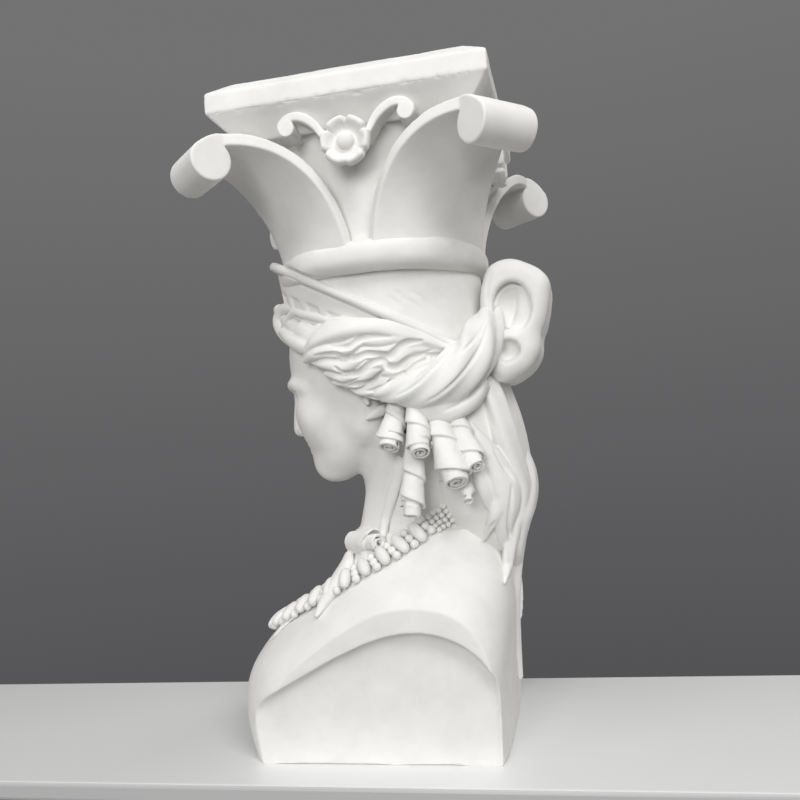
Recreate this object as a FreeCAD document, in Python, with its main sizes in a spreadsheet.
import FreeCAD, Part
import math
import os

import Sketcher
from FreeCAD import Placement, Rotation, Vector

# Caryatid pedestal: a hollow plaster bust that carries a leaf capital with a square slab.
# Millimetres, +Z up, the figure faces -Y, the origin is the middle of the foot on the floor.

doc = FreeCAD.newDocument("CaryatidPedestal")
sheet = doc.addObject("Spreadsheet::Sheet", "Sizes")

SIZES = (
    ("bust_height", 232, "floor to the neck seat"),
    ("neck_length", 65, "neck seat to the chin"),
    ("head_height", 233, "chin to the seat of the ring"),
    ("ring_height", 32, "height of the ring"),
    ("bell_height", 121, "height of the bell"),
    ("bed_height", 28, "height of the sloping soffit"),
    ("fascia_height", 14, "upright edge of the slab"),
    ("bevel_height", 25, "bevelled top of the slab"),
    ("clearance", 0.3, "gap in a seat"),
    ("panel_half_width", 133.6, "middle to a side panel of the foot"),
    ("shoulder_half_width", 148, "middle to a sawn shoulder end"),
    ("shoulder_spread", 174, "middle to the shoulder before it is sawn"),
    ("chest_reach", 190, "middle to the front of the chest"),
    ("back_reach", 131, "middle to the shoulder blades"),
    ("shoulder_set_back", 25, "widest part of the shoulders behind the middle"),
    ("arch_height", 139, "top of the arch under the shoulder"),
    ("arch_front_height", 68, "arch at the front of the panel"),
    ("arch_back_height", 60, "arch at the back of the panel"),
    ("arch_set_back", 38, "top of the arch behind the middle"),
    ("cove_radius", 11, "hollow between panel and shoulder"),
    ("bust_wall", 26, "plaster of the bust"),
    ("board_thickness", 18, "foot board"),
    ("board_width", 208, "foot board, side to side"),
    ("board_depth", 210, "foot board, front to back"),
    ("board_shift", 14, "foot board, forward of the middle"),
    ("neck_half_width", 60, "neck, side to side"),
    ("neck_front", 51, "middle to the throat"),
    ("neck_back", 95, "middle to the nape"),
    ("neck_seat_depth", 32, "neck let into the bust"),
    ("bore_radius", 26, "passage for the pipe"),
    ("head_half_width", 105, "middle to the side of the crown"),
    ("head_front", 127, "middle to the forehead"),
    ("head_back", 118, "middle to the back of the head"),
    ("nose_reach", 20, "nose beyond the face"),
    ("head_cavity_radius", 66, "hollow of the head"),
    ("spigot_radius", 90, "spigot on the crown"),
    ("spigot_entry", 14, "spigot let into the bell"),
    ("ring_radius", 133, "outside of the ring"),
    ("bell_base_radius", 112, "bell at the ring"),
    ("bell_top_radius", 124, "bell at the soffit"),
    ("bell_flare_radius", 420, "hollow curve of the bell"),
    ("bell_web", 22, "top plate of the bell"),
    ("abacus_half", 156, "half the side of the slab"),
    ("bevel_run", 17.3, "bevel of the slab, inwards"),
    ("leaf_base_radius", 117, "back of a leaf at the ring"),
    ("leaf_rise", 148, "leaf, bottom of the ring to its crest"),
    ("leaf_reach", 229, "axis to the middle of a scroll"),
    ("leaf_half_width", 76, "half a leaf at its foot"),
    ("leaf_thickness", 15, "leaf at its foot"),
    ("leaf_tip_thickness", 13, "leaf at its scroll"),
    ("scroll_radius", 22.5, "rolled end of a leaf"),
    ("scroll_length", 70, "rolled end, side to side"),
    ("scroll_drop", 30, "crest of a leaf to the middle of its scroll, down"),
    ("rosette_radius", 27.5, "outside of the petals"),
    ("rosette_height", 98, "middle of a rosette above the ring"),
    ("rosette_reach", 142, "axis to the back of a rosette"),
    ("rosette_depth", 15, "thickness of the petals"),
    ("rosette_boss_radius", 9.5, "button of a rosette"),
    ("rosette_tenon_radius", 9, "tenon of a rosette"),
    ("rosette_tenon_length", 30, "tenon of a rosette"),
    ("petal_count", 6, "petals of a rosette"),
    ("helix_span", 75, "rosette to the outside of a helix"),
    ("helix_rise", 43, "rosette to the top of a helix"),
    ("helix_reach", 150, "axis to the face of a helix"),
    ("helix_depth", 32, "thickness of a helix"),
    ("diadem_front_height", 274, "rim above the chin, in front"),
    ("diadem_fall", 28, "slope of the rim in degrees"),
    ("diadem_band_height", 69, "band at the front"),
    ("diadem_half_width", 109, "middle to the side of the rim"),
    ("diadem_reach", 144, "middle to the front of the rim"),
    ("diadem_depth", 34, "band, from its face into the head"),
    ("diadem_rim_radius", 5.5, "rolled rim"),
    ("hair_half_width", 93, "middle to the temple under the hair"),
    ("hair_reach", 126, "middle to the hair line in front"),
    ("hair_thickness", 17, "waved hair over the temple"),
    ("hair_root_depth", 30, "hair let into the head before it is seated"),
    ("roll_radius", 29, "twisted roll behind the ear"),
    ("bun_set_back", 160, "middle to the middle of the bun"),
    ("bun_height", 171, "chin to the middle of the bun"),
    ("bun_half_height", 56, "middle line of a loop, up"),
    ("bun_half_depth", 20, "middle line of a loop, back"),
    ("bun_band_half_width", 22, "half the width of a loop"),
    ("bun_band_half_thickness", 15, "half the thickness of a loop"),
    ("bun_spread", 32, "middle to the middle of a loop"),
    ("bun_splay", 8, "lean of a loop outwards at its top"),
    ("ringlet_radius", 18, "largest ringlet"),
    ("bead_radius", 3.2, "round bead"),
    ("barrel_radius", 4.4, "tall bead"),
    ("barrel_length", 17, "tall bead, set across the band"),
    ("pipe_radius", 16.85, "outside of the pipe"),
    ("pipe_wall", 3.2, "wall of the pipe"),
    ("flange_radius", 46, "floor flange"),
    ("flange_thickness", 7, "floor flange"),
    ("flange_hub_radius", 25, "floor flange"),
    ("flange_hub_height", 22, "floor flange"),
    ("screw_radius", 2.5, "wood screw"),
    ("screw_length", 22, "wood screw"),
    ("screw_head_radius", 4.6, "wood screw"),
    ("screw_circle_radius", 36, "screws of the flange"),
)
for row, (alias, value, note) in enumerate(SIZES, start=1):
    sheet.set(f"A{row}", note)
    sheet.set(f"B{row}", str(value))
    sheet.setAlias(f"B{row}", alias)
doc.recompute()


def size(alias):
    return float(sheet.get(alias))


# Heights of the seats, as expressions for bound objects and as numbers for free forms.
CHIN = "Sizes.bust_height + Sizes.neck_length"
RING_SEAT = f"{CHIN} + Sizes.head_height"
BELL_SEAT = f"{RING_SEAT} + Sizes.ring_height"
BED_SEAT = f"{BELL_SEAT} + Sizes.bell_height"
ABACUS_SEAT = f"{BED_SEAT} + Sizes.bed_height"

bust_height = size("bust_height")
chin = bust_height + size("neck_length")
ring_seat = chin + size("head_height")
bell_seat = ring_seat + size("ring_height")
gap = size("clearance")

subparts = []


def keep(item, label):
    item.Label = label
    subparts.append(item)
    return item


def add_free_form(label, shape):
    item = doc.addObject("Part::Feature", label)
    item.Shape = shape
    item.Placement = shape.Placement
    return keep(item, label)


def add_body(label):
    return keep(doc.addObject("PartDesign::Body", label), label)


def add_sketch(body, label, plane):
    sketch = body.newObject("Sketcher::SketchObject", label)
    support = next(item for item in body.Origin.OriginFeatures if item.Role == plane)
    sketch.AttachmentSupport = [(support, "")]
    sketch.MapMode = "FlatFace"
    return sketch


def bind(item, **expressions):
    for name, expression in expressions.items():
        item.setExpression(name, expression)


def bind_place(item, **expressions):
    for axis, expression in expressions.items():
        item.setExpression(f".Placement.Base.{axis}", expression)


def set_datum(sketch, constraint, expression):
    index = sketch.addConstraint(constraint)
    sketch.setExpression(f"Constraints[{index}]", expression)


def draw_square(sketch, half):
    """Square about the origin, whose half side is an expression."""
    reach = float(sketch.evalExpression(half))
    corners = [Vector(x * reach, y * reach, 0) for x, y in ((-1, -1), (1, -1), (1, 1), (-1, 1))]
    for index in range(4):
        sketch.addGeometry(Part.LineSegment(corners[index], corners[(index + 1) % 4]), False)
    for index in range(4):
        sketch.addConstraint(Sketcher.Constraint("Coincident", index, 2, (index + 1) % 4, 1))
        direction = "Vertical" if index % 2 else "Horizontal"
        sketch.addConstraint(Sketcher.Constraint(direction, index))
    sketch.addConstraint(Sketcher.Constraint("Symmetric", 0, 1, 2, 1, -1, 1))
    set_datum(sketch, Sketcher.Constraint("DistanceX", 0, 1, 0, 2, 2 * reach), f"2 * ({half})")
    set_datum(sketch, Sketcher.Constraint("DistanceY", 1, 1, 1, 2, 2 * reach), f"2 * ({half})")


def draw_circle(sketch, radius, offset=None):
    """Circle on the origin, or at an offset along the sketch's vertical axis."""
    height = float(sketch.evalExpression(offset)) if offset else 0
    centre = Vector(0, height, 0)
    circle = sketch.addGeometry(Part.Circle(centre, Vector(0, 0, 1), float(sketch.evalExpression(radius))))
    if offset:
        sketch.addConstraint(Sketcher.Constraint("PointOnObject", circle, 3, -2))
        set_datum(sketch, Sketcher.Constraint("DistanceY", -1, 1, circle, 3, height), offset)
    else:
        sketch.addConstraint(Sketcher.Constraint("Coincident", circle, 3, -1, 1))
    set_datum(sketch, Sketcher.Constraint("Radius", circle, float(sketch.evalExpression(radius))), radius)


def draw_profile(sketch, corners, bows=None):
    """Closed outline through corners given as expressions; bows maps an edge to its arc radius."""
    bows = bows or {}
    points = [Vector(*(float(sketch.evalExpression(text)) for text in corner), 0) for corner in corners]
    count = len(points)
    starts = []
    for index, start in enumerate(points):
        end = points[(index + 1) % count]
        if index in bows:
            radius = float(sketch.evalExpression(bows[index]))
            chord = end - start
            across = Vector(-chord.y, chord.x, 0).normalize()
            sag = radius - math.sqrt(radius ** 2 - (chord.Length / 2) ** 2)
            geometry = Part.Arc(start, (start + end) / 2 + across * sag, end)
            sketch.addGeometry(geometry, False)
        else:
            sketch.addGeometry(Part.LineSegment(start, end), False)
        starts.append(1 if sketch.getPoint(index, 1).distanceToPoint(start) < 1e-6 else 2)
    for index in range(count):
        following = (index + 1) % count
        link = Sketcher.Constraint("Coincident", index, 3 - starts[index], following, starts[following])
        sketch.addConstraint(link)
    for index, (corner, point) in enumerate(zip(corners, points)):
        distances = (("DistanceX", point.x, corner[0], -2), ("DistanceY", point.y, corner[1], -1))
        for name, value, text, axis in distances:
            if abs(value) < 1e-9:
                sketch.addConstraint(Sketcher.Constraint("PointOnObject", index, starts[index], axis))
            else:
                set_datum(sketch, Sketcher.Constraint(name, -1, 1, index, starts[index], value), text)
    for index, text in bows.items():
        set_datum(sketch, Sketcher.Constraint("Radius", index, float(sketch.evalExpression(text))), text)


def add_pad(body, label, sketch, length, reverse=False):
    pad = body.newObject("PartDesign::Pad", label)
    pad.Profile = sketch
    pad.Reversed = reverse
    bind(pad, Length=length)
    return pad


def eased(points):
    """Control points moved outwards so that the smooth curve comes out at the size of the outline."""
    count = len(points)
    middle = Vector()
    for point in points:
        middle += point / count
    ease = 3 / (2 + math.cos(2 * math.pi / count))
    return [middle + (point - middle) * ease for point in points]


def skin(sections, closed=False):
    """Solid under a smooth surface, drawn over a net of closed sections with as many points each."""
    count, rows = len(sections[0]), len(sections)
    degree = min(3, rows - 1)
    if closed:
        row_knots = list(range(rows + 1))
        row_counts = [1] * (rows + 1)
    else:
        row_knots = list(range(rows - degree + 1))
        row_counts = [degree + 1] + [1] * (rows - degree - 1) + [degree + 1]
    poles = [[section[index] for section in sections] for index in range(count)]
    surface = Part.BSplineSurface()
    surface.buildFromPolesMultsKnots(poles, [1] * (count + 1), row_counts, list(range(count + 1)), row_knots,
                                     True, closed, 3, degree)
    if closed:
        shell = Part.makeShell([surface.toShape()])
    else:
        ends = (surface.vIso(row_knots[0]), surface.vIso(row_knots[-1]))
        shell = Part.makeShell([surface.toShape()] + [Part.Face(Part.Wire([end.toShape()])) for end in ends])
        shell.sewShape()
    solid = Part.makeSolid(shell)
    if solid.Volume < 0:
        solid.reverse()
    return solid


def mirrored(shape):
    return shape.mirror(Vector(0, 0, 0), Vector(1, 0, 0))


def cut_away(shape, *tools):
    """The shape less its neighbours; of what is left, the largest solid."""
    for tool in tools:
        if shape.BoundBox.intersect(tool.BoundBox):
            shape = shape.cut(tool)
    return max(shape.Solids, key=lambda solid: solid.Volume)


def egg_section(height, front, back, half_width, middle, bow_front, bow_back, count=24):
    """Level outline, widest at y = middle, squarer where its bow is larger."""
    points = []
    for index in range(count):
        turn = 2 * math.pi * index / count
        side, ahead = math.sin(turn), math.cos(turn)
        bow = bow_front if ahead > 0 else bow_back
        depth = front + middle if ahead > 0 else back - middle
        x = math.copysign(abs(side) ** (2 / bow), side) * half_width
        y = middle - math.copysign(abs(ahead) ** (2 / bow), ahead) * depth
        points.append(Vector(x, y, height))
    return eased(points)


def tube_section(centre, along, across, half_across, half_other, lobes=0, depth=0.0, turn=0.0, count=12):
    """Oval outline square to a path, with lobes round it that can be turned from section to section."""
    normal = along.normalize()
    first = (across - normal * across.dot(normal)).normalize()
    second = normal.cross(first)
    points = []
    for index in range(count):
        angle = 2 * math.pi * index / count
        swell = 1 + depth * math.cos(lobes * (angle - turn)) if lobes else 1
        points.append(centre + first * (half_across * swell * math.cos(angle))
                      + second * (half_other * swell * math.sin(angle)))
    return eased(points)


def lock(stations, across, lobes=0, depth=0.0, turn_step=0.0):
    """Loft along stations of (centre, half width across, other half width)."""
    sections = []
    last = len(stations) - 1
    for index, (centre, half_across, half_other) in enumerate(stations):
        along = stations[min(index + 1, last)][0] - stations[max(index - 1, 0)][0]
        sections.append(tube_section(centre, along, across, half_across, half_other, lobes, depth,
                                     index * turn_step))
    return skin(sections)


# Abacus: square slab with a bevelled top edge.
abacus = add_body("abacus")
abacus_outline = add_sketch(abacus, "abacus_outline", "XY_Plane")
draw_square(abacus_outline, "Sizes.abacus_half")
add_pad(abacus, "abacus_block", abacus_outline, "Sizes.fascia_height + Sizes.bevel_height")
doc.recompute()
slab = abacus.Tip
top_height = max(edge.BoundBox.ZMin for edge in slab.Shape.Edges)
top_edges = [f"Edge{index}" for index, edge in enumerate(slab.Shape.Edges, start=1)
             if edge.BoundBox.ZMin > top_height - gap]
bevel = abacus.newObject("PartDesign::Chamfer", "abacus_bevel")
bevel.Base = (slab, top_edges)
bevel.ChamferType = "Two distances"
bind(bevel, Size="Sizes.bevel_run", Size2="Sizes.bevel_height")
doc.recompute()
if abs(bevel.Shape.Faces[0].BoundBox.XMax) < size("abacus_half") - size("bevel_run") - gap:
    bevel.FlipDirection = True
bind_place(abacus, z=ABACUS_SEAT)

# Bed moulding: the sloping square soffit, at 45 degrees.
bed = add_body("bed_moulding")
bed_foot = add_sketch(bed, "bed_foot", "XY_Plane")
draw_square(bed_foot, "Sizes.abacus_half - Sizes.bed_height")
bed_head = add_sketch(bed, "bed_head", "XY_Plane")
bed_head.setExpression(".AttachmentOffset.Base.z", "Sizes.bed_height")
draw_square(bed_head, "Sizes.abacus_half")
bed_loft = bed.newObject("PartDesign::AdditiveLoft", "bed_slope")
bed_loft.Profile = bed_foot
bed_loft.Sections = [bed_head]
bind_place(bed, z=BED_SEAT)

# Capital bell: a hollow drum, turned, with a socket for the spigot and a top plate for the pipe.
bell = add_body("capital_bell")
bell_outline = add_sketch(bell, "bell_outline", "XZ_Plane")
BELL_SOCKET = "Sizes.spigot_radius + Sizes.clearance"
BELL_HOLLOW = "Sizes.spigot_radius - 10"
draw_profile(bell_outline, (
    (BELL_SOCKET, "0"),
    ("Sizes.bell_base_radius", "0"),
    ("Sizes.bell_top_radius", "Sizes.bell_height"),
    ("Sizes.pipe_radius + Sizes.clearance", "Sizes.bell_height"),
    ("Sizes.pipe_radius + Sizes.clearance", "Sizes.bell_height - Sizes.bell_web"),
    (BELL_HOLLOW, "Sizes.bell_height - Sizes.bell_web"),
    (BELL_HOLLOW, "Sizes.spigot_entry"),
    (BELL_SOCKET, "Sizes.spigot_entry"),
), {1: "Sizes.bell_flare_radius"})
bell_turning = bell.newObject("PartDesign::Revolution", "bell_turning")
bell_turning.Profile = bell_outline
bell_turning.ReferenceAxis = (bell_outline, ["V_Axis"])
bell_turning.Angle = 360
mortise_outline = add_sketch(bell, "mortise_outline", "XZ_Plane")
draw_circle(mortise_outline, "Sizes.rosette_tenon_radius + Sizes.clearance", "Sizes.rosette_height")
mortise = bell.newObject("PartDesign::Pocket", "mortise")
mortise.Profile = mortise_outline
mortise.Reversed = True
bind(mortise, Length="Sizes.bell_top_radius + Sizes.clearance")
doc.recompute()
mortise_ring = bell.newObject("PartDesign::PolarPattern", "mortise_ring")
mortise_ring.Originals = [mortise]
mortise_ring.Axis = (mortise_outline, ["V_Axis"])
mortise_ring.Angle = 360
mortise_ring.Occurrences = 4
bell.Tip = mortise_ring
bind_place(bell, z=BELL_SEAT)

# Astragal ring: a torus filled to a flat bed above and below, bored for the spigot.
ring_round = doc.addObject("Part::Torus", "ring_round")
bind(ring_round, Radius1="Sizes.ring_radius - Sizes.ring_height / 2", Radius2="Sizes.ring_height / 2")
bind_place(ring_round, z=f"{RING_SEAT} + Sizes.ring_height / 2")
ring_core = doc.addObject("Part::Cylinder", "ring_core")
bind(ring_core, Radius="Sizes.ring_radius - Sizes.ring_height / 2", Height="Sizes.ring_height")
bind_place(ring_core, z=RING_SEAT)
ring_bore = doc.addObject("Part::Cylinder", "ring_bore")
bind(ring_bore, Radius="Sizes.spigot_radius + Sizes.clearance", Height="Sizes.ring_height")
bind_place(ring_bore, z=RING_SEAT)
ring_solid = doc.addObject("Part::Fuse", "ring_solid")
ring_solid.Base = ring_round
ring_solid.Tool = ring_core
ring = keep(doc.addObject("Part::Cut", "astragal_ring"), "astragal_ring")
ring.Base = ring_solid
ring.Tool = ring_bore

# Rosettes: six petals round a button, with a tenon that enters the bell.
SIDES = {"front": 0, "left": 90, "back": 180, "right": 270}
PETAL = "Sizes.rosette_radius * 0.42"


def add_rosette(side, angle):
    body = add_body(f"rosette_{side}")
    core = add_sketch(body, f"core_{side}", "XY_Plane")
    draw_circle(core, "Sizes.rosette_radius * 0.7")
    add_pad(body, f"core_pad_{side}", core, "Sizes.rosette_depth * 0.6")
    petal = add_sketch(body, f"petal_{side}", "XY_Plane")
    draw_circle(petal, PETAL, f"Sizes.rosette_radius - {PETAL}")
    petal_pad = add_pad(body, f"petal_pad_{side}", petal, "Sizes.rosette_depth")
    doc.recompute()
    petals = body.newObject("PartDesign::PolarPattern", f"petals_{side}")
    petals.Originals = [petal_pad]
    petals.Axis = (petal, ["N_Axis"])
    petals.Angle = 360
    bind(petals, Occurrences="Sizes.petal_count")
    body.Tip = petals
    doc.recompute()
    button = add_sketch(body, f"button_{side}", "XY_Plane")
    draw_circle(button, "Sizes.rosette_boss_radius")
    add_pad(body, f"button_pad_{side}", button, "Sizes.rosette_depth")
    tenon = add_sketch(body, f"tenon_{side}", "XY_Plane")
    draw_circle(tenon, "Sizes.rosette_tenon_radius")
    add_pad(body, f"tenon_pad_{side}", tenon, "Sizes.rosette_tenon_length", reverse=True)
    outward = Rotation(Vector(1, 0, 0), 90)
    body.Placement = Placement(Vector(), Rotation(Vector(0, 0, 1), angle) * outward)
    bind_place(body, x=f"Sizes.rosette_reach * sin({angle} deg)",
               y=f"-Sizes.rosette_reach * cos({angle} deg)",
               z=f"{BELL_SEAT} + Sizes.rosette_height")


for side_name, side_angle in SIDES.items():
    add_rosette(side_name, side_angle)
doc.recompute()


# Helices: small crooks that spring from both sides of each rosette, cut to the bell and the soffit.
HELIX_OUTLINE = ((0.40, 0.17), (0.55, 0.76), (0.80, 1.0), (1.0, 0.69), (0.87, 0.44),
                 (0.77, 0.50), (0.73, 0.64), (0.56, 0.46), (0.41, 0.04))


def helix_shape(angle):
    span, rise = size("helix_span"), size("helix_rise")
    points = [Vector(across * span, 0, up * rise) for across, up in HELIX_OUTLINE]
    edges = [Part.Arc(*points[start:start + 3]).toShape() for start in range(0, 8, 2)]
    edges.append(Part.makeLine(points[8], points[0]))
    face = Part.Face(Part.Wire(edges))
    crook = face.extrude(Vector(0, size("helix_depth"), 0))
    crook.translate(Vector(0, -size("helix_reach"), bell_seat + size("rosette_height")))
    crook.rotate(Vector(), Vector(0, 0, 1), angle)
    return cut_away(crook, bell.Shape, bed.Shape)


for side_name, side_angle in SIDES.items():
    crook_shape = helix_shape(side_angle)
    across_side = Vector(math.cos(math.radians(side_angle)), math.sin(math.radians(side_angle)), 0)
    add_free_form(f"helix_{side_name}_near", crook_shape)
    add_free_form(f"helix_{side_name}_far", crook_shape.mirror(Vector(), across_side))


# Volute leaves: each rises from the ring on a quarter ellipse, bends over and rolls into a scroll.
LEAF_STATIONS = 9
LEAF_NARROWING = 3
# The crest stands this share of the scroll's radius inside the middle of the scroll.
CREST_SHARE = 0.65
# The bow of the foot dies out upwards with this power of what is left of the turn.
BOW_POWER = 1.5
# Over the crest: turn about the middle of the scroll in degrees, distance from it in scroll radii.
LEAF_BEND = ((95, 1.2), (65, 1.08), (40, 0.98))


def leaf_shape():
    """Leaf on the +X axis: sections bowed like the bell at the foot and straight at the crest."""
    foot, rise = size("leaf_base_radius"), size("leaf_rise")
    spread = math.asin(size("leaf_half_width") / foot)
    scroll, crest_half = size("scroll_radius"), size("scroll_length") / 2
    crest_thickness = size("leaf_tip_thickness")
    chord = foot * math.cos(spread)
    reach = size("leaf_reach") - CREST_SHARE * scroll - chord
    scroll_middle = Vector(size("leaf_reach"), 0, ring_seat + rise - size("scroll_drop"))
    lowest = math.degrees(math.asin(size("ring_height") / 2 / rise))
    wires = []
    for step in range(LEAF_STATIONS):
        turn = math.radians(lowest + (90 - lowest) * step / (LEAF_STATIONS - 1))
        share = turn / math.radians(90)
        thickness = size("leaf_thickness") + share * (crest_thickness - size("leaf_thickness"))
        half = size("leaf_half_width") + share ** LEAF_NARROWING * (crest_half - size("leaf_half_width"))
        sag = (foot - chord) * (1 - share) ** BOW_POWER
        back = Vector(chord + reach * (1 - math.cos(turn)), 0, ring_seat + rise * math.sin(turn))
        wires.append(leaf_section(back, Vector(math.cos(turn), 0, -math.sin(turn)), thickness, half, sag))
    for degrees, share in LEAF_BEND:
        turn = math.radians(degrees)
        away = Vector(math.cos(turn), 0, math.sin(turn))
        back = scroll_middle + away * (scroll * share)
        wires.append(leaf_section(back, -away, crest_thickness, crest_half, 0))
    blade = Part.makeLoft(wires, True, False)
    curl_end = scroll_middle - Vector(0, crest_half, 0)
    curl = Part.makeCylinder(scroll, 2 * crest_half, curl_end, Vector(0, 1, 0))
    return cut_away(blade.fuse(curl).removeSplitter(), ring.Shape, bell.Shape)


def leaf_section(back, out, thickness, half, sag):
    """Four-sided outline: a back edge, a front edge parallel to it, and two straight flanks."""
    sag = max(sag, gap)
    side = Vector(0, 1, 0)
    rear = [back - side * half, back + out * sag, back + side * half]
    front = [point + out * thickness for point in rear]
    return Part.Wire([
        Part.Arc(rear[0], rear[1], rear[2]).toShape(),
        Part.makeLine(rear[2], front[2]),
        Part.Arc(front[2], front[1], front[0]).toShape(),
        Part.makeLine(front[0], rear[0]),
    ])


CORNERS = {"front_left": -45, "back_left": 45, "back_right": 135, "front_right": 225}
leaf = leaf_shape()
for corner_name, corner_angle in CORNERS.items():
    turned = leaf.copy()
    turned.rotate(Vector(), Vector(0, 0, 1), corner_angle)
    add_free_form(f"volute_leaf_{corner_name}", turned)


# Head: cranium and face lofted from level sections, with nose, neck, spigot and hollow.
# Each section: height, front, back, half width, as shares of the head's own sizes.
HEAD_SECTIONS = ((0.0, 0.66, -0.40, 0.16), (0.03, 0.80, 0.0, 0.34), (0.09, 0.85, 0.34, 0.48),
                 (0.17, 0.84, 0.60, 0.56), (0.26, 0.86, 0.76, 0.62), (0.36, 0.89, 0.85, 0.67),
                 (0.47, 0.93, 0.92, 0.72), (0.58, 0.97, 0.97, 0.77), (0.70, 1.0, 1.0, 0.83),
                 (0.82, 0.98, 1.0, 0.90), (0.92, 0.93, 0.98, 0.97), (1.0, 0.89, 0.96, 1.0))
NOSE_SECTIONS = ((0.30, 0.35, 0.16), (0.325, 1.0, 0.17), (0.37, 0.85, 0.12), (0.46, 0.35, 0.08))


def neck_shape():
    seat = bust_height - size("neck_seat_depth")
    front, back, half = size("neck_front"), size("neck_back"), size("neck_half_width")
    rise = size("neck_length")
    return skin([
        egg_section(seat, front * 1.06, back * 1.02, half * 1.03, 20, 2, 2),
        egg_section(bust_height, front, back, half, 20, 2, 2),
        egg_section(bust_height + rise * 0.7, front * 0.83, back * 0.95, half * 0.92, 22, 2, 2),
        egg_section(bust_height + rise * 2, front * 0.8, back * 0.98, half * 0.94, 24, 2, 2),
    ])


def head_block_shape(neck):
    height, half = size("head_height"), size("head_half_width")
    front, back = size("head_front"), size("head_back")
    skull = skin([egg_section(chin + share * height, ahead * front, behind * back, wide * half,
                              min(5, behind * back - 12), 2.3, 2)
                  for share, ahead, behind, wide in HEAD_SECTIONS])
    nose_sections = []
    for share, reach, wide in NOSE_SECTIONS:
        level = chin + share * height
        root = -front * (0.84 + 0.2 * (share - 0.3))
        tip = root - size("nose_reach") * reach
        wing = wide * half
        flank = (root + tip) / 2
        nose_sections.append(eased([Vector(-wing, root + 12, level), Vector(-wing / 2, flank, level),
                                    Vector(0, tip, level), Vector(wing / 2, flank, level),
                                    Vector(wing, root + 12, level), Vector(0, root + 26, level)]))
    spigot = Part.makeCylinder(size("spigot_radius"), size("ring_height") + size("spigot_entry") + gap,
                               Vector(0, 0, ring_seat - gap))
    return skull.fuse([neck, skin(nose_sections), spigot])


def head_shape(block):
    hollow_floor = chin + 0.36 * size("head_height")
    hollow = Part.makeCylinder(size("head_cavity_radius"), 2 * size("head_height"),
                               Vector(0, 0, hollow_floor))
    bore = Part.makeCylinder(size("bore_radius"), hollow_floor, Vector(0, 0, 0))
    return cut_away(block, hollow, bore)


neck_solid = neck_shape()
head = head_block_shape(neck_solid)
add_free_form("head", head_shape(head))

# Bust: lofted chest and shoulders, sawn off upright at the shoulders, scooped to flat side panels
# below an arch.
# Each section: height, front, back, half width as shares, then how square the front and back are.
BUST_SECTIONS = ((0.0, 0.89, 0.91, 0.95, 4.0, 6), (0.17, 0.99, 0.92, 0.96, 3.4, 6),
                 (0.34, 1.0, 0.95, 1.0, 3.0, 5), (0.48, 0.905, 0.97, 0.99, 2.3, 4),
                 (0.60, 0.74, 0.99, 0.94, 2.1, 3.2),
                 (0.69, 0.57, 1.0, 0.875, 2.0, 2.8), (0.77, 0.47, 0.99, 0.776, 2.0, 2.5),
                 (0.84, 0.41, 0.975, 0.632, 2.0, 2.3), (0.915, 0.35, 0.93, 0.483, 2.0, 2.2),
                 (1.0, 0.295, 0.855, 0.38, 2.0, 2.0))


def bust_loft(inset=0.0, sections=BUST_SECTIONS):
    middle = size("shoulder_set_back")
    return skin([egg_section(share * bust_height, front * size("chest_reach") - inset,
                             back * size("back_reach") - inset, wide * size("shoulder_spread") - inset,
                             middle, bow_front, bow_back)
                 for share, front, back, wide, bow_front, bow_back in sections])


def shoulder_scoop():
    """What is cut away beyond one side panel, under the arch, with a cove along the arch."""
    front, back = size("chest_reach"), size("back_reach")
    high, ahead, behind = size("arch_height"), size("arch_front_height"), size("arch_back_height")
    apex = size("arch_set_back")
    floor = -size("board_thickness")
    panel = size("panel_half_width")
    arch_points = [Vector(panel, -1.1 * front, ahead * 0.5), Vector(panel, -0.75 * front, ahead),
                   Vector(panel, -0.22 * front, high - 0.28 * (high - ahead)), Vector(panel, apex, high),
                   Vector(panel, apex + 0.52 * (back - apex), high - 0.2 * (high - behind)),
                   Vector(panel, 0.92 * back, behind)]
    curve = Part.BSplineCurve()
    curve.interpolate(arch_points)
    arch = curve.toShape()
    face = Part.Face(Part.Wire([
        arch,
        Part.makeLine(arch_points[-1], Vector(panel, 0.92 * back, floor)),
        Part.makeLine(Vector(panel, 0.92 * back, floor), Vector(panel, -1.1 * front, floor)),
        Part.makeLine(Vector(panel, -1.1 * front, floor), arch_points[0]),
    ]))
    block = face.extrude(Vector(size("shoulder_spread"), 0, 0))
    boxes = [(edge, edge.BoundBox) for edge in block.Edges]
    inner = [edge for edge, box in boxes if box.XLength < gap and box.XMax < panel + gap
             and box.ZMin > floor + gap and box.YLength > back]
    return block.makeFillet(size("cove_radius"), inner)


def bust_shape(outside, neck):
    spread = size("shoulder_spread")
    sawn = Part.makeBox(2 * spread, 6 * spread, 6 * spread,
                        Vector(size("shoulder_half_width"), -3 * spread, -spread))
    back_panel = Part.makeBox(2 * spread, spread, size("arch_back_height") + spread,
                              Vector(size("panel_half_width"), 0.92 * size("back_reach") - gap, -spread))
    scoop = shoulder_scoop()
    wall = size("bust_wall")
    lower = [BUST_SECTIONS[index] for index in (0, 2, 4, 5)]
    hollow = bust_loft(wall + size("shoulder_spread") - size("panel_half_width"), lower)
    rebate_width, rebate_depth = size("board_width") + 2 * gap, size("board_depth") + 2 * gap
    rebate = Part.makeBox(rebate_width, rebate_depth, size("board_thickness"),
                          Vector(-rebate_width / 2, -rebate_depth / 2 - size("board_shift"), 0))
    bore = Part.makeCylinder(size("bore_radius"), bust_height, Vector(0, 0, 0))
    return cut_away(outside, sawn, mirrored(sawn), scoop, mirrored(scoop), back_panel, mirrored(back_panel),
                    hollow, rebate, bore, neck)


bust_outside = bust_loft()
bust = bust_shape(bust_outside, neck_solid)
add_free_form("bust", bust)


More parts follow.
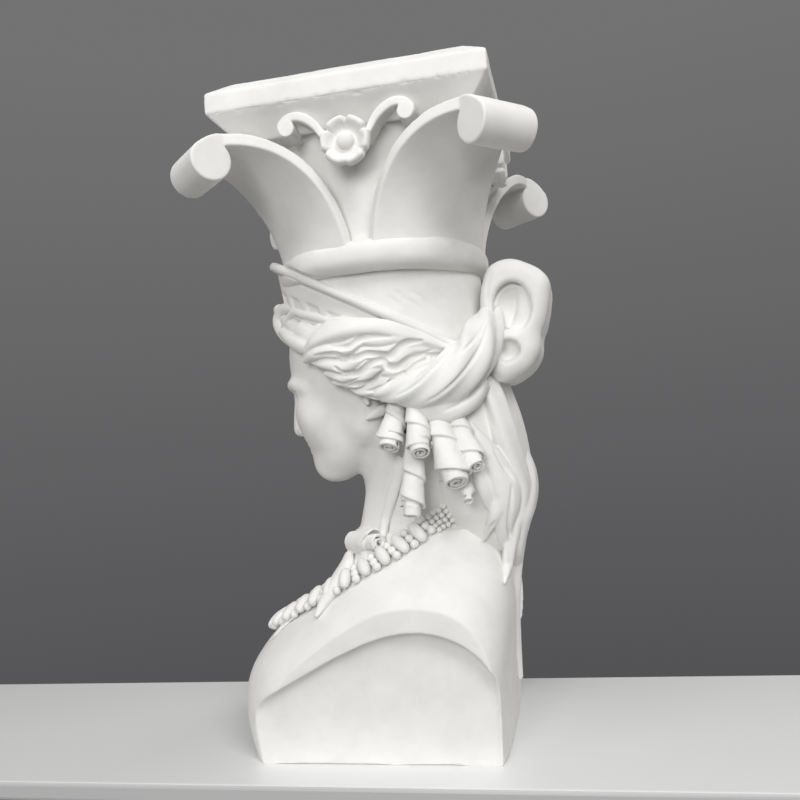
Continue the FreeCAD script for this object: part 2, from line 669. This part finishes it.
# Diadem: a sloping band with a rolled upper rim, drawn round the head from behind one ear to the other.
DIADEM_SWEEP = 132
DIADEM_STATIONS = 17


def diadem_shape():
    slope = math.tan(math.radians(size("diadem_fall")))
    reach, half = size("diadem_reach"), size("diadem_half_width")
    depth, rim = size("diadem_depth"), size("diadem_rim_radius")
    sections = []
    for index in range(DIADEM_STATIONS):
        turn = math.radians(DIADEM_SWEEP * (2 * index / (DIADEM_STATIONS - 1) - 1))
        foot = Vector(half * math.sin(turn), -reach * math.cos(turn), 0)
        out = Vector(math.sin(turn) / half, -math.cos(turn) / reach, 0).normalize()
        behind = foot.y + reach
        top = chin + size("diadem_front_height") - slope * behind
        bottom = chin + size("diadem_front_height") - size("diadem_band_height") - 0.66 * slope * behind
        shelf = min(top - 2 * rim, ring_seat - rim)
        lean = 9 * math.cos(turn / 2)
        outline = ((-lean, bottom), (-0.6 * lean, 0.6 * bottom + 0.4 * top), (-1.6 * rim, top - 3 * rim),
                   (-1.2 * rim, top - 2.2 * rim), (0, top - 1.6 * rim), (0.2 * rim, top - 0.6 * rim),
                   (-0.8 * rim, top), (-1.8 * rim, top - 0.6 * rim), (-1.9 * rim, shelf),
                   (-depth, shelf - rim), (-depth, 0.8 * bottom + 0.2 * shelf), (-0.5 * depth, bottom))
        sections.append([foot + out * away + Vector(0, 0, height) for away, height in outline])
    return skin(sections)


ring_foot = Vector(0, 0, ring_seat - gap)
ring_room = Part.makeCylinder(size("ring_radius") + gap, size("ring_height") + gap, ring_foot)
diadem = cut_away(diadem_shape(), head, ring_room)
add_free_form("diadem", diadem)

# Front hair: waved locks swept back from the parting. Each station: turn round the head in degrees,
# upper and lower edge above the chin, thickness as a share.
HAIR_STATIONS = ((6, 207, 183, 0.75), (25, 206, 168, 0.9), (48, 197, 146, 1.0), (70, 181, 118, 1.1),
                 (92, 164, 99, 1.1), (112, 151, 93, 1.0), (130, 143, 92, 0.7))
HAIR_STRANDS = 5


def front_hair_shape():
    sections = []
    half, reach = size("hair_half_width"), size("hair_reach")
    for number, (turn, upper, lower, share) in enumerate(HAIR_STATIONS):
        angle = math.radians(turn)
        scalp = Vector(half * math.sin(angle), 5 - reach * math.cos(angle), chin)
        out = Vector(math.sin(angle) / half, -math.cos(angle) / reach, 0).normalize()
        thickness = size("hair_thickness") * share
        root = scalp - out * size("hair_root_depth")
        points = [root + Vector(0, 0, lower + share_up * (upper - lower)) for share_up in (0.3, 0.7)]
        count = 2 * HAIR_STRANDS
        for index in range(count + 1):
            level = index / count
            ridge = 1 if index % 2 else 0.78
            wave = 0.06 * math.sin(2.4 * number + 6 * level)
            swell = math.sin(math.pi * (0.06 + 0.88 * level)) ** 0.5 * ridge + wave
            points.append(scalp + out * (thickness * swell) + Vector(0, 0, upper + level * (lower - upper)))
        sections.append(eased(points))
    return skin(sections)


front_hair = cut_away(front_hair_shape(), head, diadem)
add_free_form("front_hair_left", front_hair)
add_free_form("front_hair_right", mirrored(front_hair))


# Hair roll: a fat twist from the ear round to the bun. Stations: x, y, height above the chin, share of
# its radius.
ROLL_STATIONS = ((88, -6, 96, 0.4), (96, 40, 94, 0.85), (94, 82, 103, 1.0), (80, 112, 130, 1.0),
                 (56, 127, 162, 0.8), (28, 131, 180, 0.55))


def stations_from(table, scale):
    return [(Vector(x, y, chin + rise), share * scale, share * scale) for x, y, rise, share in table]


roll = lock(stations_from(ROLL_STATIONS, size("roll_radius")), Vector(0, 0, 1), lobes=3, depth=0.09,
            turn_step=0.55)
roll = cut_away(roll, head, diadem, front_hair)
add_free_form("hair_roll_left", roll)
add_free_form("hair_roll_right", mirrored(roll))


# Bun: two upright loops of hair side by side, tied by a knot between them.
def bun_loop_shape():
    stations = 12
    sections = []
    deep, tall, splay = size("bun_half_depth"), size("bun_half_height"), size("bun_splay")
    for index in range(stations):
        turn = 2 * math.pi * index / stations
        centre = Vector(size("bun_spread") + splay * math.cos(turn),
                        size("bun_set_back") + deep * math.sin(turn),
                        chin + size("bun_height") + tall * math.cos(turn))
        along = Vector(0, deep * math.cos(turn), -tall * math.sin(turn))
        sections.append(tube_section(centre, along, Vector(1, 0, 0), size("bun_band_half_width"),
                                     size("bun_band_half_thickness")))
    return skin(sections, closed=True)


bun_loop = cut_away(bun_loop_shape(), head, roll)
add_free_form("bun_loop_left", bun_loop)
add_free_form("bun_loop_right", mirrored(bun_loop))

# Bun knot: the small oval wrap that ties the two loops to the head.
KNOT_STATIONS = ((0, 112, 171, 13, 26), (0, 128, 171, 15, 31), (0, 150, 171, 16, 34), (0, 172, 171, 14, 30),
                 (0, 186, 171, 8, 18))


def locks_from(table):
    """Stations of x, y, height above the chin, half width across and other half width."""
    return [(Vector(x, y, chin + rise), across, other) for x, y, rise, across, other in table]


knot = lock(locks_from(KNOT_STATIONS), Vector(1, 0, 0))
knot = cut_away(knot, head, roll, mirrored(roll), bun_loop, mirrored(bun_loop))
add_free_form("bun_knot", knot)

# Back tresses: wavy locks that fall from under the bun and thin out to points on the back.
MIDDLE_TRESS = ((0, 112, 120, 20, 14), (3, 128, 60, 28, 26), (-3, 134, 5, 30, 28), (3, 136, -38, 28, 25),
                (-3, 132, -87, 23, 18), (2, 132, -147, 17, 11), (-2, 131, -201, 11, 7), (0, 130, -248, 4, 3))
INNER_TRESS = ((36, 106, 116, 18, 13), (46, 118, 60, 23, 24), (48, 126, 8, 24, 27), (44, 131, -32, 22, 23),
               (46, 130, -70, 16, 16), (52, 127, -104, 10, 10), (55, 124, -132, 4, 4))
OUTER_TRESS = ((60, 90, 104, 15, 12), (70, 100, 56, 20, 21), (72, 110, 16, 21, 23), (66, 124, -12, 18, 20),
               (66, 128, -38, 13, 14), (73, 120, -62, 9, 9), (78, 113, -82, 4, 4))
middle_tress = cut_away(lock(locks_from(MIDDLE_TRESS), Vector(1, 0, 0), lobes=3, depth=0.06, turn_step=0.3),
                        head, bust, roll, mirrored(roll), bun_loop, mirrored(bun_loop), knot)
inner_tress = cut_away(lock(locks_from(INNER_TRESS), Vector(1, 0, 0), lobes=3, depth=0.06, turn_step=0.3),
                       head, bust, roll, bun_loop, knot, middle_tress)
outer_tress = cut_away(lock(locks_from(OUTER_TRESS), Vector(1, 0, 0), lobes=3, depth=0.06, turn_step=0.3),
                       head, bust, roll, inner_tress)
add_free_form("back_tress_middle", middle_tress)
add_free_form("back_tress_inner_left", inner_tress)
add_free_form("back_tress_inner_right", mirrored(inner_tress))
add_free_form("back_tress_outer_left", outer_tress)
add_free_form("back_tress_outer_right", mirrored(outer_tress))


# Ringlets: ribbons of hair rolled into corkscrews, which hang from the roll behind the ear.
# Each: top x, y, height above the chin, then the same at the end, then radius at top and end as shares.
RINGLETS = ((72, 18, 88, 88, 14, 34, 0.52, 0.75), (80, 41, 91, 108, 48, 29, 0.55, 0.85),
            (92, 33, 23, 100, 28, -44, 0.66, 0.72), (84, 61, 72, 110, 80, -6, 0.62, 0.95),
            (82, 82, 53, 100, 108, 2, 0.6, 0.74))
RINGLET_TURNS = 1.5


def ringlet_shape(top, end, top_radius, end_radius):
    """Round section with one step in it, which climbs round the ringlet like the edge of a rolled ribbon."""
    rows, count = 10, 12
    axis = (end - top).normalize()
    first = axis.cross(Vector(0, 1, 0)).normalize()
    second = axis.cross(first)
    sections = []
    for row_number in range(rows):
        share = row_number / (rows - 1)
        radius = top_radius + share * (end_radius - top_radius)
        points = []
        for index in range(count):
            angle = 2 * math.pi * index / count
            swell = 0.8 + 0.25 * ((index / count + RINGLET_TURNS * share) % 1)
            offset = first * math.cos(angle) + second * math.sin(angle)
            points.append(top + (end - top) * share + offset * (radius * swell))
        sections.append(points)
    return skin(sections)


hung = [head, front_hair, roll, bust, diadem]
for number, (x, y, rise, end_x, end_y, end_rise, top_share, end_share) in enumerate(RINGLETS, start=1):
    curl = ringlet_shape(Vector(x, y, chin + rise), Vector(end_x, end_y, chin + end_rise),
                         size("ringlet_radius") * top_share, size("ringlet_radius") * end_share)
    curl = cut_away(curl, *hung)
    hung.append(curl)
    add_free_form(f"ringlet_left_{number}", curl)
    add_free_form(f"ringlet_right_{number}", mirrored(curl))

# Forelocks: a short curl each side of the parting.
forelock = ringlet_shape(Vector(3, -134, chin + 203), Vector(27, -133, chin + 182),
                         size("ringlet_radius") * 0.5, size("ringlet_radius") * 0.68)
forelock = cut_away(forelock, head, diadem, front_hair)
far_side = 4 * size("head_front")
middle_plane = Part.makeBox(far_side, far_side, far_side,
                            Vector(gap - far_side, -far_side / 2, chin - size("head_front")))
forelock = cut_away(forelock, middle_plane)
add_free_form("forelock_left", forelock)
add_free_form("forelock_right", mirrored(forelock))


# Points on the skin of the bust, found along straight lines from outside and from inside.
def front_of_bust(x, height):
    line = Part.makeLine(Vector(x, -2 * size("chest_reach"), height),
                         Vector(x, size("shoulder_set_back"), height))
    return min((vertex.Point for vertex in bust_outside.common(line).Vertexes), key=lambda point: point.y)


def side_of_bust(turn, height, slope):
    """Where a line in a sloping plane, turned from the front, leaves the bust."""
    far = 2 * size("shoulder_spread")
    across, ahead = math.sin(turn), -math.cos(turn)
    inside = Vector(0, 0, height)
    line = Part.makeLine(inside, Vector(far * across, far * ahead, height + slope * far * ahead))
    ends = [vertex.Point for vertex in bust_outside.common(line).Vertexes]
    point = max(ends, key=inside.distanceToPoint)
    face = bust_outside.Faces[0]
    normal = face.normalAt(*face.Surface.parameter(point))
    outward = Vector(across, ahead, 0.5)
    return point, normal if normal.dot(outward) > 0 else -normal


# Neck lock: a flat lock down the neck that ends in a small curl on the collar bone.
COLLAR_CURL = (62, 212)
collar_point = front_of_bust(*COLLAR_CURL)
curl_radius = size("ringlet_radius") * 0.7
curl_middle = collar_point + Vector(0, -curl_radius * 0.85, 0)
neck_stations = [(Vector(76, 16, chin + 22), 7, 5), (Vector(60, 6, chin - 8), 8, 5),
                 (Vector(58, -5, chin - 36), 8, 5), (Vector(62, -20, chin - 62), 7, 5), (curl_middle, 5, 4)]
neck_lock = lock(neck_stations, Vector(0, 1, 0)).fuse(Part.makeSphere(curl_radius, curl_middle))
neck_lock = cut_away(neck_lock.removeSplitter(), *hung)
add_free_form("neck_lock_left", neck_lock)
add_free_form("neck_lock_right", mirrored(neck_lock))

# Chest lock: a smooth lock that lies on the chest from the collar to the necklace.
CHEST_ROUTE = ((47, 198, 3, 2), (50, 182, 8, 8), (57, 160, 11, 10), (66, 138, 11, 10), (75, 118, 8, 8),
               (80, 106, 3, 2))
CHEST_SINK = Vector(0, 3, -3)
chest_stations = [(front_of_bust(x, height) + CHEST_SINK, half, depth)
                  for x, height, half, depth in CHEST_ROUTE]
chest_lock = cut_away(lock(chest_stations, Vector(1, 0, 0)), bust, neck_lock)
add_free_form("chest_lock_left", chest_lock)
add_free_form("chest_lock_right", mirrored(chest_lock))


# Necklace: tall beads set across a band that slopes down to the front, with a column of three round
# beads between each two of them.
NECKLACE_SLOPE = 0.478
NECKLACE_HEIGHT = 204
NECKLACE_SWEEP = 138
NECKLACE_STEP = 2
BARREL_TAPER = 0.7
row_pitch = 2 * size("bead_radius") + gap
ROWS = (("upper", -row_pitch), ("middle", 0), ("lower", row_pitch))
band = [side_of_bust(math.radians(degree), NECKLACE_HEIGHT, NECKLACE_SLOPE)
        for degree in range(-NECKLACE_SWEEP, NECKLACE_SWEEP + 1, NECKLACE_STEP)]


def on_skin(point, normal):
    """The place on the skin of the bust that a point above or below it has under or over it."""
    lift = normal * size("barrel_length")
    needle = Part.makeLine(point + lift, point - lift * 2)
    ends = [vertex.Point for vertex in bust_outside.common(needle).Vertexes]
    return min(ends, key=(point + lift).distanceToPoint)


def bead_places(spacing):
    """Evenly spaced places, found by walking the band from one side to the other."""
    places = [band[0]]
    due = spacing
    for (start, start_normal), (end, end_normal) in zip(band, band[1:]):
        run = start.distanceToPoint(end)
        while due <= run:
            share = due / run
            normal = (start_normal + (end_normal - start_normal) * share).normalize()
            places.append((start + (end - start) * share, normal))
            due += spacing
        due -= run
    return places


def tall_bead(middle, along):
    half, radius = size("barrel_length") / 2, size("barrel_radius")
    narrow = radius * BARREL_TAPER
    return Part.makeCone(narrow, radius, half, middle - along * half, along).fuse(
        Part.makeCone(radius, narrow, half, middle, along)).removeSplitter()


beads = {row_name: [] for row_name, offset in ROWS}
places = bead_places(size("bead_radius") + size("barrel_radius") + gap)
for index, (point, normal) in enumerate(places):
    along = places[min(index + 1, len(places) - 1)][0] - places[max(index - 1, 0)][0]
    across = along.cross(normal).normalize()
    if index % 2:
        for row_name, offset in ROWS:
            middle = on_skin(point + across * offset, normal) + normal * (size("bead_radius") + gap)
            beads[row_name].append(Part.makeSphere(size("bead_radius"), middle))
    else:
        beads["middle"].append(tall_bead(point + normal * (size("barrel_radius") + gap), across))
for row_name, row_beads in beads.items():
    add_free_form(f"necklace_{row_name}_row", Part.makeCompound(row_beads))

# Foot board, floor flange, pipe and screws: what ties the castings together inside.
SCREW_PLACES = [(sin_sign, cos_sign) for sin_sign in (-1, 1) for cos_sign in (-1, 1)]
BOARD_TOP = "Sizes.board_thickness"
board_blank = doc.addObject("Part::Box", "board_blank")
bind(board_blank, Length="Sizes.board_width", Width="Sizes.board_depth", Height="Sizes.board_thickness")
bind_place(board_blank, x="-Sizes.board_width / 2", y="-Sizes.board_depth / 2 - Sizes.board_shift")
flange_plate = doc.addObject("Part::Cylinder", "flange_plate")
bind(flange_plate, Radius="Sizes.flange_radius", Height="Sizes.flange_thickness")
bind_place(flange_plate, z=BOARD_TOP)
flange_hub = doc.addObject("Part::Cylinder", "flange_hub")
bind(flange_hub, Radius="Sizes.flange_hub_radius", Height="Sizes.flange_hub_height")
bind_place(flange_hub, z=BOARD_TOP)
flange_blank = doc.addObject("Part::Fuse", "flange_blank")
flange_blank.Base = flange_plate
flange_blank.Tool = flange_hub
flange_bore = doc.addObject("Part::Cylinder", "flange_bore")
bind(flange_bore, Radius="Sizes.pipe_radius + Sizes.clearance", Height="Sizes.flange_hub_height")
bind_place(flange_bore, z=f"{BOARD_TOP} + Sizes.flange_thickness")

holes = []
for number, (along_x, along_y) in enumerate(SCREW_PLACES, start=1):
    hole = doc.addObject("Part::Cylinder", f"screw_hole_{number}")
    bind(hole, Radius="Sizes.screw_radius", Height="Sizes.screw_length")
    bind_place(hole, x=f"{along_x} * Sizes.screw_circle_radius * sin(45 deg)",
               y=f"{along_y} * Sizes.screw_circle_radius * sin(45 deg)",
               z=f"{BOARD_TOP} + Sizes.flange_thickness - Sizes.screw_length")
    holes.append(hole)
hole_group = doc.addObject("Part::MultiFuse", "screw_holes")
hole_group.Shapes = holes

foot_board = keep(doc.addObject("Part::Cut", "foot_board"), "foot_board")
foot_board.Base = board_blank
foot_board.Tool = hole_group
flange_drilled = doc.addObject("Part::Cut", "flange_drilled")
flange_drilled.Base = flange_blank
flange_drilled.Tool = flange_bore
floor_flange = keep(doc.addObject("Part::Cut", "floor_flange"), "floor_flange")
floor_flange.Base = flange_drilled
floor_flange.Tool = hole_group

PIPE_FOOT = f"{BOARD_TOP} + Sizes.flange_thickness"
pipe_outside = doc.addObject("Part::Cylinder", "pipe_outside")
bind(pipe_outside, Radius="Sizes.pipe_radius", Height=f"{BED_SEAT} - ({PIPE_FOOT}) - Sizes.clearance")
bind_place(pipe_outside, z=PIPE_FOOT)
pipe_inside = doc.addObject("Part::Cylinder", "pipe_inside")
bind(pipe_inside, Radius="Sizes.pipe_radius - Sizes.pipe_wall", Height=BED_SEAT)
bind_place(pipe_inside, z=PIPE_FOOT)
core_pipe = keep(doc.addObject("Part::Cut", "core_pipe"), "core_pipe")
core_pipe.Base = pipe_outside
core_pipe.Tool = pipe_inside


def screw_shape(along_x, along_y):
    reach = size("screw_circle_radius") * math.sin(math.radians(45))
    seat = size("board_thickness") + size("flange_thickness")
    place = Vector(along_x * reach, along_y * reach, seat - size("screw_length"))
    shank = Part.makeCylinder(size("screw_radius"), size("screw_length"), place)
    cap = Part.makeCone(size("screw_head_radius"), size("screw_radius"), size("screw_radius"),
                        Vector(place.x, place.y, seat))
    return shank.fuse(cap).removeSplitter()


add_free_form("flange_screws", Part.makeCompound([screw_shape(*place) for place in SCREW_PLACES]))

doc.recompute()
for item in doc.Objects:
    if "Invalid" in item.State or "Error" in item.State:
        raise RuntimeError(f"{item.Label} did not build: {item.State}")
for item in subparts:
    if item.Shape.isNull() or not item.Shape.isValid() or not item.Shape.Solids:
        raise RuntimeError(f"{item.Label} has no valid solid")

os.makedirs("parts", exist_ok=True)
for item in subparts:
    item.Shape.exportStep(f"parts/{item.Label}.step")
print(f"{len(subparts)} sub-parts written")
